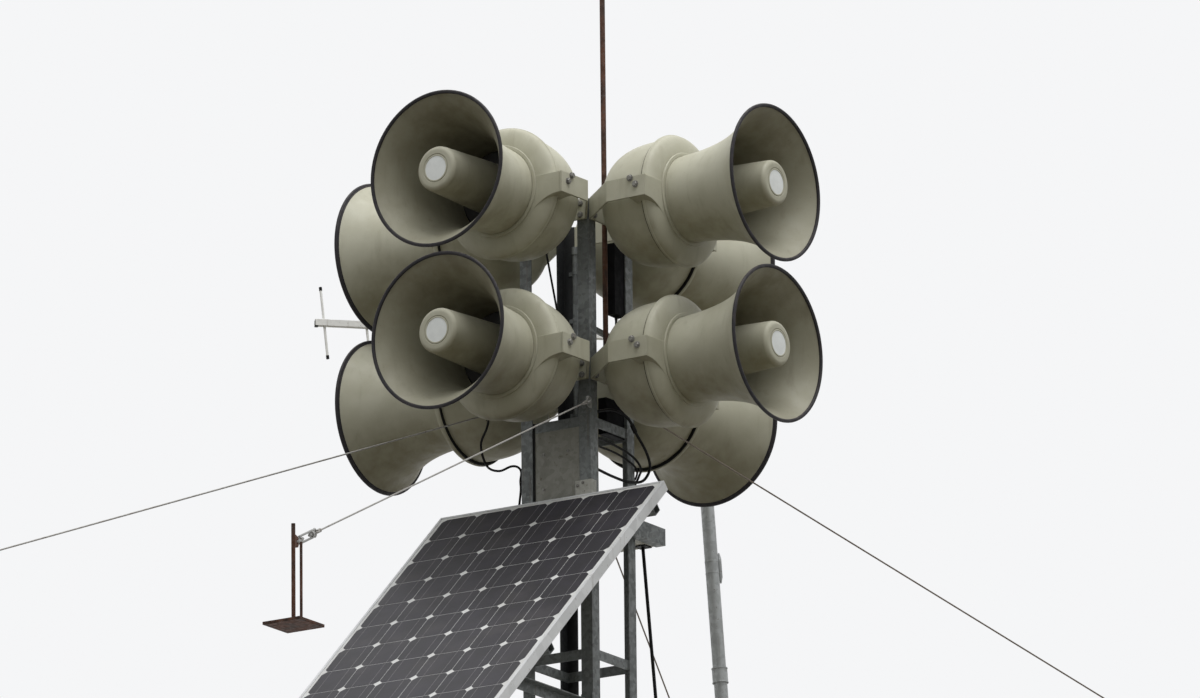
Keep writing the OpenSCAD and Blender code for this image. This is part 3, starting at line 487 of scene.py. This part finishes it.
def cheek_outline():
    """Right half of the cheeks seen along the horn, with a fillet from each arm to a ring round the neck."""
    half, top, low = YOKE_HALF - YOKE_T, YOKE_H / 2 - YOKE_DROP, YOKE_H / 2 + YOKE_DROP
    round_r = NECK_R + CHEEK_RING
    fillet = (half ** 2 + low ** 2 - round_r ** 2) / (2 * (round_r - low))
    limit = math.atan2(low + fillet, half)
    steps = 20
    points = [(0, top), (half, top)]
    for i in range(steps + 1):
        a = math.pi / 2 + (math.pi / 2 - limit) * i / steps
        points.append((half + fillet * math.cos(a), -low - fillet + fillet * math.sin(a)))
    for i in range(1, steps + 1):
        a = -limit - (math.pi / 2 - limit) * i / steps
        points.append((round_r * math.cos(a), round_r * math.sin(a)))
    return points


def add_cheeks(bm):
    """The cheeks with bevelled edges. Each end is a fan of faces, because its outline isn't convex."""
    outline = cheek_outline()
    full = outline + [(-y, z) for y, z in reversed(outline) if abs(y) > 1e-9]
    back, front, bevel = NECK_S - CHEEK_L, NECK_S, 0.003
    rows = []
    for x, inset in ((back, bevel), (back + bevel, 0.0), (front - bevel, 0.0), (front, bevel)):
        row = []
        for y, z in full:
            scale = 1 - inset / max(0.05, math.hypot(y, z))
            row.append(bm.verts.new((x, y * scale, z * scale)))
        rows.append(row)
    count = len(full)
    for a, b in zip(rows, rows[1:]):
        for k in range(count):
            bm.faces.new((a[k], b[k], b[(k + 1) % count], a[(k + 1) % count]))
    for row, x in ((rows[0], back), (rows[-1], front)):
        middle = bm.verts.new((x, 0, 0))
        for k in range(count):
            bm.faces.new((row[k], row[(k + 1) % count], middle))


def body_mesh():
    bm = bmesh.new()
    lathe(bm, shell_profile(), SIDES)
    # black ring on the back of the flange
    black_ring = [(SHELL_R - 0.001, RIDGE_S - 0.0145), (BODY_R - 0.0040, RIDGE_S - 0.0145),
              (BODY_R - 0.0024, RIDGE_S - 0.0112)]
    lathe(bm, black_ring, SIDES, 1)
    add_cheeks(bm)
    # pads on the sides of the cheeks
    for side in (-1, 1):
        for s, z in ARM_PADS:
            place = frame_at((s, side * (YOKE_HALF - YOKE_T - 0.001), z), (0, side, 0))
            rod(bm, 0.006, 0.003, place, 16)
    bmesh.ops.recalc_face_normals(bm, faces=bm.faces)
    return mesh_of("body", bm, ["cream_edge", "rubber"], sharp=28)


def plug_mesh():
    """The plug, with a round edge and a recess for the cap."""
    bm = bmesh.new()
    steps, middle_r, middle_s = 12, PLUG_R - PLUG_ROUND, MOUTH_S - PLUG_ROUND
    profile = [(PLUG_ROOT_R, NECK_S), (PLUG_R + 0.0006, middle_s - 0.004)]
    for i in range(steps + 1):
        a = math.pi / 2 * i / steps
        profile.append((middle_r + PLUG_ROUND * math.cos(a), middle_s + PLUG_ROUND * math.sin(a)))
    profile += [(CAP_R + 0.003, MOUTH_S), (CAP_R + 0.0015, MOUTH_S - 0.001), (CAP_R, MOUTH_S - CAP_DEPTH),
                (0, MOUTH_S - CAP_DEPTH)]
    lathe(bm, profile, 96)
    return mesh_of("plug", bm, ["cream"])


def cap_mesh():
    """A painted rim with a shallow pale dish in it."""
    bm = bmesh.new()
    outer, crest, inner, dish = CAP_R - 0.0006, CAP_R - 0.002, CAP_R - 0.0055, CAP_R - 0.0065
    lathe(bm, [(outer, MOUTH_S - CAP_DEPTH), (outer, MOUTH_S - 0.0006), (crest, MOUTH_S)], 96)
    lathe(bm, [(crest, MOUTH_S), (inner, MOUTH_S), (dish, MOUTH_S - 0.0014)], 96)
    lathe(bm, [(dish, MOUTH_S - 0.0014), (0.030, MOUTH_S - 0.0009), (0.0, MOUTH_S - 0.0003)], 96, 1)
    return mesh_of("cap", bm, ["cream", "cap"])


def arm_bolts_mesh():
    """Bolts through the arms of the yoke, each turned a little further than the last."""
    bm = bmesh.new()
    for side in (-1, 1):
        for k, (s, z) in enumerate(ARM_BOLTS):
            bolt(bm, (s, side * YOKE_HALF, z), (0, side, 0), turn=0.4 + 0.5 * k)
    return mesh_of("arm_bolts", bm, ["bolt"])


def horns():
    """The eight horns, whose meshes are shared. Each piece replaces the solid that it stands for."""
    parts = {"bell": (bell_mesh(), "cream"), "trim": (trim_mesh(), "trim"), "body": (body_mesh(), "cream"),
             "plug": (plug_mesh(), "cream"), "cap": (cap_mesh(), "cap"),
             "arm_bolts": (arm_bolts_mesh(), "bolt")}
    for row, z in ROWS.items():
        for side, turn in TURNS.items():
            turned = Matrix.Rotation(math.radians(turn + HORN_TURN), 4, "Z")
            solids = {"bell": f"bell_{side}_{row}", "trim": "mouth_trims", "body": f"body_{side}_{row}",
                      "plug": f"plugs_{row}", "cap": "plug_caps"}
            for key, (mesh, finish) in parts.items():
                place = Matrix.Translation((0, 0, z)) @ turned
                obj = put(f"horn_{key}_{side}_{row}", mesh, place)
                if key in solids:
                    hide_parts(solids[key])


def yoke_bolts():
    """Bolts through the yokes into the legs of the mast, each at a turn of its own."""
    bm = bmesh.new()
    for z in ROWS.values():
        for turn in TURNS.values():
            side = Matrix.Rotation(math.radians(turn), 4, "Z")
            for y in (-YOKE_BOLT_Y, YOKE_BOLT_Y):
                for h in (-YOKE_BOLT_Z, YOKE_BOLT_Z):
                    at = side @ Vector((HALF_W + YOKE_T, y, z - YOKE_DROP + h))
                    bolt(bm, at, side @ Vector((1, 0, 0)), 0.017, 0.007, 0.012, turn=y * 30 + h * 20)
    piece("yoke_bolts", bm, "bolt")


# Solar panel
def on_panel(x, down, out):
    """A point of the panel: across, down the slope from its upper edge, and out of the glass."""
    c, s = math.cos(PANEL_SLOPE), math.sin(PANEL_SLOPE)
    return Vector((x, PANEL_TOP[1] - down * c - out * s, PANEL_TOP[2] - down * s + out * c))


def panel_cells():
    """Cells with cut corners, and two pale strips on each column, under the glass."""
    cells, strips = bmesh.new(), bmesh.new()
    limit = math.atan2(math.sqrt(CELL_CORNER_R ** 2 - CELL_HALF ** 2), CELL_HALF)
    steps = 4
    outline = []
    for quarter in range(4):
        for i in range(steps + 1):
            a = quarter * math.pi / 2 + limit + (math.pi / 2 - 2 * limit) * i / steps
            outline.append((CELL_CORNER_R * math.cos(a), CELL_CORNER_R * math.sin(a)))
    low, high = CELL_FIRST - CELL_HALF, CELL_FIRST + (CELL_ROWS - 1) * CELL_PITCH + CELL_HALF
    for column in range(COLUMNS):
        x0 = (column - (COLUMNS - 1) / 2) * CELL_PITCH
        for row in range(CELL_ROWS):
            l0 = CELL_FIRST + row * CELL_PITCH
            corners = [on_panel(x0 + x, l0 - y, GLASS_OUT + 0.0003) for x, y in outline]
            cells.faces.new([cells.verts.new(at) for at in corners])
        for x in (x0 - STRIP_X, x0 + STRIP_X):
            left, right = x - STRIP_HALF, x + STRIP_HALF
            corners = [on_panel(*at, GLASS_OUT + 0.0005)
                       for at in ((left, high), (right, high), (right, low), (left, low))]
            strips.faces.new([strips.verts.new(at) for at in corners])
    piece("panel_cells", cells, "cell")
    piece("panel_strips", strips, "bus")


def panel_back():
    """Junction box with a lid, on the back of the panel."""
    bm = bmesh.new()
    middle = on_panel(0.0, PANEL_BOX_DOWN, PANEL_BOX_OUT)
    place = Matrix.Translation(middle) @ Matrix.Rotation(PANEL_SLOPE, 4, "X")
    block(bm, PANEL_BOX, place, 0.004)
    block(bm, PANEL_LID, place @ Matrix.Translation((0, 0, PANEL_LID_OUT)), 0.0015)
    piece("panel_box", bm, "black")


# Mast
def base_bolts():
    """Anchor bolts with a washer and a nut each."""
    bm = bmesh.new()
    # radius and length of each
    washer, nut, stud = (0.020, 0.003), (0.0155, 0.013), (0.008, 0.042)
    for x in (-BASE_BOLT, BASE_BOLT):
        for y in (-BASE_BOLT, BASE_BOLT):
            place = Matrix.Translation((x, y, BASE_TOP))
            on_washer = place @ Matrix.Translation((0, 0, washer[1]))
            rod(bm, *washer, place, 32)
            rod(bm, *nut, on_washer @ Matrix.Rotation(x + y, 4, "Z"), 6)
            rod(bm, *stud, place, 24)
    piece("base_bolts", bm, "bolt")


def weld(bm, start, end):
    """A rippled weld bead between two points."""
    radius, ripple, dip, sides = 0.0034, 0.0044, 0.15, 10
    length = (end - start).length
    steps = 2 * round(length / ripple)
    first = len(bm.verts)
    waves = [(radius * (1 - dip * (k % 2)), length * (k + 0.5) / steps) for k in range(steps)]
    lathe(bm, [(0, 0)] + waves + [(0, length)], sides)
    bm.verts.ensure_lookup_table()
    place = frame_at(start, end - start) @ Matrix.Rotation(-math.pi / 2, 4, "Y")
    bmesh.ops.transform(bm, matrix=place, verts=bm.verts[first:])


def mast_welds():
    """Beads where the tie bars meet the edges of the legs, and round the feet of the legs."""
    bm = bmesh.new()
    short = 0.001
    out, edge = HALF_W - LEG_T + 0.0005, HALF_W - LEG_W - short
    for side, turn in TURNS.items():
        face = Matrix.Rotation(math.radians(turn), 4, "Z")
        # the face sheet covers the highest tie bar at the front
        levels = TIE_LEVELS[:-1] if side == "front" else TIE_LEVELS
        for y in (-edge, edge):
            for z in levels:
                weld(bm, face @ Vector((out, y, z + short)), face @ Vector((out, y, z + TIE_H - short)))
            corner = math.copysign(HALF_W, y)
            weld(bm, face @ Vector((HALF_W, y, BASE_TOP)), face @ Vector((HALF_W, corner, BASE_TOP)))
    piece("mast_welds", bm, "zinc")


def sheet_trims():
    """Rubber strip beside the face sheet, and screws in the sheet and the bracket plate."""
    bm = bmesh.new()
    middle = Matrix.Translation((*STRIP_AT, (SHEET_TOP + SHEET_LOW) / 2))
    block(bm, (*RUBBER_STRIP, SHEET_TOP - SHEET_LOW), middle)
    piece("sheet_strip", bm, "rubber")
    bm = bmesh.new()
    washer_t, out = 0.0012, (0, -1, 0)
    for x, y, z in SCREWS:
        rod(bm, 0.0065, washer_t, frame_at((x, y, z), out), 24)
        rod(bm, 0.0045, 0.0035, frame_at((x, y - washer_t, z), out), 20, 0.0035)
    piece("sheet_screws", bm, "bolt")


def back_conduit():
    """A conduit inside the back leg, with a socket at each end and four clips."""
    bm = bmesh.new()
    x, y, low, high = CONDUIT
    tab_x, tab_y = CONDUIT_TAB
    socket_l, clip_l, clips, clip_in = 0.030, 0.016, 4, 0.10
    rod(bm, 0.010, high - low, Matrix.Translation((x, y, low)), 32)
    for z in (low, high - socket_l):
        rod(bm, 0.0125, socket_l, Matrix.Translation((x, y, z)), 32)
    for i in range(clips):
        z = low + clip_in + i * (high - low - 2 * clip_in) / (clips - 1)
        rod(bm, 0.0115, clip_l, Matrix.Translation((x, y, z - clip_l / 2)), 32)
        block(bm, (0.030, 0.003, clip_l), Matrix.Translation((x - tab_x, tab_y, z)), 0.0005)
    piece("back_conduit", bm, "zinc")


# Cables
def smooth(points, steps=6):
    """The curve through points that the solids of the cables follow, in metres."""
    p = [Vector(q) / 1000 for q in points]
    out = []
    for i in range(len(p) - 1):
        a, b, c, d = p[max(i - 1, 0)], p[i], p[i + 1], p[min(i + 2, len(p) - 1)]
        for k in range(steps):
            u = k / steps
            out.append(b + u / 2 * (c - a + u * (2 * a - 5 * b + 4 * c - d + u * (3 * (b - c) + d - a))))
    return out + [p[-1]]


def horn_cables():
    """Black cables that hang between the horns, the duct, the boxes and the tray."""
    for name, (diameter, points) in CABLES.items():
        line = smooth(points)
        curve = bpy.data.curves.new(f"cable_{name}", "CURVE")
        curve.dimensions = "3D"
        curve.bevel_depth = diameter / 2
        curve.bevel_resolution = 4
        curve.use_fill_caps = True
        spline = curve.splines.new("POLY")
        spline.points.add(len(line) - 1)
        for point, at in zip(spline.points, line):
            point.co = (*at, 1)
        curve.materials.append(M["rubber"])
        obj = put(f"cable_{name}", curve)
        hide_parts("horn_cables")


def cable_fittings():
    """Glands at both ends of each cable, and the tape round the highest loop."""
    bm = bmesh.new()
    nut_l, sleeve_l, tape_r, tape_l = 0.006, 0.014, 0.0085, 0.034
    for diameter, points in CABLES.values():
        for first, second in ((points[0], points[1]), (points[-1], points[-2])):
            a, b = Vector(first) / 1000, Vector(second) / 1000
            place = frame_at(a, b - a)
            rod(bm, diameter * 0.85, nut_l, place, 6)
            rod(bm, diameter * 0.72, sleeve_l, place, 24, diameter * 0.58)
    line = smooth(CABLES["high"][1])
    knot = min(range(len(line)), key=lambda i: (line[i] - Vector(KNOT)).length)
    rod(bm, tape_r, tape_l, frame_at(line[knot - 1], line[knot + 1] - line[knot - 1]), 20)
    piece("cable_glands", bm, "rubber")


# Antenna, its pipe and the guys
def antenna_plugs():
    """Dark plugs on the ends of the boom and of the antenna's rods."""
    bm = bmesh.new()
    cap, cap_in = (0.0265, 0.0265, 0.014), 0.0055
    plug_r, plug_l, plug_in = 0.0062, 0.014, 0.012
    tip, root = Vector(BOOM[0]), Vector(BOOM[1])
    along = (tip - root).normalized()
    for at, way in ((tip, along), (root, -along)):
        block(bm, cap, frame_at(at - cap_in * way, way), 0.002)
    for i in range(ELEMENTS):
        low, high = (Vector(a) + i * Vector(step) for a, step in zip(ELEMENT_0, ELEMENT_STEP))
        way = (high - low).normalized()
        for at, out in ((low, -way), (high, way)):
            rod(bm, plug_r, plug_l, frame_at(at - plug_in * out, out), 20)
    piece("antenna_plugs", bm, "rubber")


def pipe_fittings():
    """A coupling with two collars on the antenna pipe, and a tapered splice strapped to its side."""
    bm = bmesh.new()
    foot, head = Vector(PIPE[0]), Vector(PIPE[1])
    way = (head - foot).normalized()
    coupling_l, collar_l = 0.060, 0.004
    place = frame_at(foot + way * COUPLING_L, way)
    rod(bm, 0.0300, coupling_l, place, 48)
    for end in (0.0, coupling_l - collar_l):
        rod(bm, 0.0315, collar_l, place @ Matrix.Translation((0, 0, end)), 48)
    splice_r, splice_l, taper_l, taper_r = 0.0085, 0.070, 0.025, 0.003
    at = foot + way * SPLICE_L + Vector(SPLICE_WAY).normalized() * 0.031
    rod(bm, splice_r, splice_l, frame_at(at, way), 24)
    rod(bm, splice_r, taper_l, frame_at(at + splice_l * way, way), 24, taper_r)
    rod(bm, splice_r, taper_l, frame_at(at, -way), 24, taper_r)
    for end in (0.010, 0.056):
        rod(bm, 0.0268, 0.005, frame_at(foot + way * (SPLICE_L + end), way), 48)
    piece("pipe_fittings", bm, "pipe")


def front_stake():
    """A rusty stake beside the front anchor post."""
    bm = bmesh.new()
    x, y, top = STAKE
    low = 0.010
    rod(bm, 0.005, top - low, Matrix.Translation((x, y, low)), 16)
    piece("front_stake", bm, "rust")


# Solids that show as they are
def cad_finishes():
    table = {"zinc": ["base_plate", "leg_front", "leg_right", "leg_left", "tie_bars",
                      "panel_struts", "panel_rails", "panel_arms", "antenna_stay"],
             "back_zinc": ["leg_back"],
             "pipe": ["antenna_pipe"],
             "sheet": ["face_sheet"],
             "pale_zinc": ["leg_bracket"],
             "tray": ["rear_tray"],
             "black": ["cable_boxes", "cable_duct"],
             "rubber": ["down_lead"],
             "cream_edge": ["yokes_lower", "yokes_upper"],
             "aluminium": ["panel_frame"],
             "backing": ["panel_laminate"],
             "rust": ["lightning_rod", "rod_clamps", "guy_anchors"],
             "antenna": ["antenna_boom", "antenna_elements"],
             "guy": ["turnbuckles", "guy_eyes"],
             "wire": ["guy_wires"]}
    for key, names in table.items():
        for name in names:
            obj = NODES[name]
            obj.data.materials.clear()
            obj.data.materials.append(M[key])


# Camera, floor and light
def look():
    """The camera that was fitted to the photograph."""
    forward = Vector((math.sin(YAW) * math.cos(PITCH), math.cos(YAW) * math.cos(PITCH), math.sin(PITCH)))
    right = Vector((math.cos(YAW), -math.sin(YAW), 0))
    up = right.cross(forward)
    c, s = math.cos(ROLL), math.sin(ROLL)
    right, up = c * right + s * up, -s * right + c * up
    basis = Matrix((right, up, -forward)).transposed()
    data = bpy.data.cameras.new("camera")
    data.sensor_width = SENSOR
    data.lens = FOCAL_PX / PHOTO_W * SENSOR
    data.clip_end = 300
    cam = bpy.data.objects.new("camera", data)
    bpy.context.scene.collection.objects.link(cam)
    place = Matrix.Rotation(CAMERA_TURN, 3, "Z") @ basis
    cam.matrix_world = Matrix.Translation(CAMERA_AT) @ place.to_4x4()
    bpy.context.scene.camera = cam


def floor():
    """A pale floor that is seen from above only, so that it doesn't hide the mast from a low camera."""
    s = Shader("floor", Roughness=0.9)
    rays = s.add("ShaderNodeLightPath").outputs
    seen = s.math("MAXIMUM", rays["Is Camera Ray"], rays["Is Glossy Ray"])
    material = s.finish(s.blend(seen, FLOOR_LIT, FLOOR_SEEN))
    painted_shade_below = s.add("ShaderNodeNewGeometry").outputs["Backfacing"]
    hidden = s.math("MULTIPLY", painted_shade_below, rays["Is Camera Ray"])
    clear = s.add("ShaderNodeBsdfTransparent").outputs[0]
    s.end(hidden, s.bsdf.outputs[0], clear, "Material Output")
    bm = bmesh.new()
    corners = ((-1, -1), (1, -1), (1, 1), (-1, 1))
    bm.faces.new([bm.verts.new((x * FLOOR_HALF, y * FLOOR_HALF, FLOOR_Z)) for x, y in corners])
    mesh = bpy.data.meshes.new("floor")
    bm.to_mesh(mesh)
    bm.free()
    mesh.materials.append(material)
    obj = bpy.data.objects.new("floor", mesh)
    bpy.context.scene.collection.objects.link(obj)


def sky():
    """An overcast sky: bright overhead, less light from the sides and little from below."""
    world = bpy.data.worlds.new("sky")
    bpy.context.scene.world = world
    n = Nodes(world)
    way = n.add("ShaderNodeTexCoord").outputs["Generated"]
    up = n.add("ShaderNodeSeparateXYZ", Vector=way).outputs[2]
    height = n.add("ShaderNodeMapRange", From_Min=-1.0, Value=up).outputs[0]
    ramp = n.add("ShaderNodeValToRGB", _0=height)
    stops = ramp.color_ramp.elements
    stops[0].position, stops[0].color = 0.0, (*SKY_LOW, 1)
    stops[1].position, stops[1].color = 1.0, (*SKY_TOP, 1)
    for at, colour in SKY:
        stops.new(at).color = (*colour, 1)
    lit = n.tree.nodes["Background"]
    lit.inputs["Strength"].default_value = SKY_POWER
    n.tree.links.new(ramp.outputs[0], lit.inputs["Color"])
    shown = n.add("ShaderNodeBackground", _0=(*SKY_SEEN, 1), _1=1.0).outputs[0]
    rays = n.add("ShaderNodeLightPath").outputs
    seen = n.math("MAXIMUM", rays["Is Camera Ray"], rays["Is Glossy Ray"])
    seen = n.math("MAXIMUM", seen, rays["Is Transmission Ray"])
    n.end(seen, lit.outputs[0], shown, "World Output")


def overhead_lamp():
    data = bpy.data.lights.new("overhead", "AREA")
    data.shape = "DISK"
    data.size = LAMP_D
    data.energy = LAMP_POWER
    data.color = LAMP_COLOUR
    obj = bpy.data.objects.new("overhead", data)
    bpy.context.scene.collection.objects.link(obj)
    obj.matrix_world = frame_at(LAMP_AT, Vector(LAMP_AT) - Vector(LAMP_AIM))


def main():
    look()
    floor()
    sky()
    overhead_lamp()
    cad_finishes()
    horns()
    yoke_bolts()
    panel_cells()
    panel_back()
    base_bolts()
    mast_welds()
    horn_cables()
    cable_fittings()
    sheet_trims()
    back_conduit()
    antenna_plugs()
    pipe_fittings()
    front_stake()
    bpy.context.scene.view_settings.view_transform = "Standard"


main()
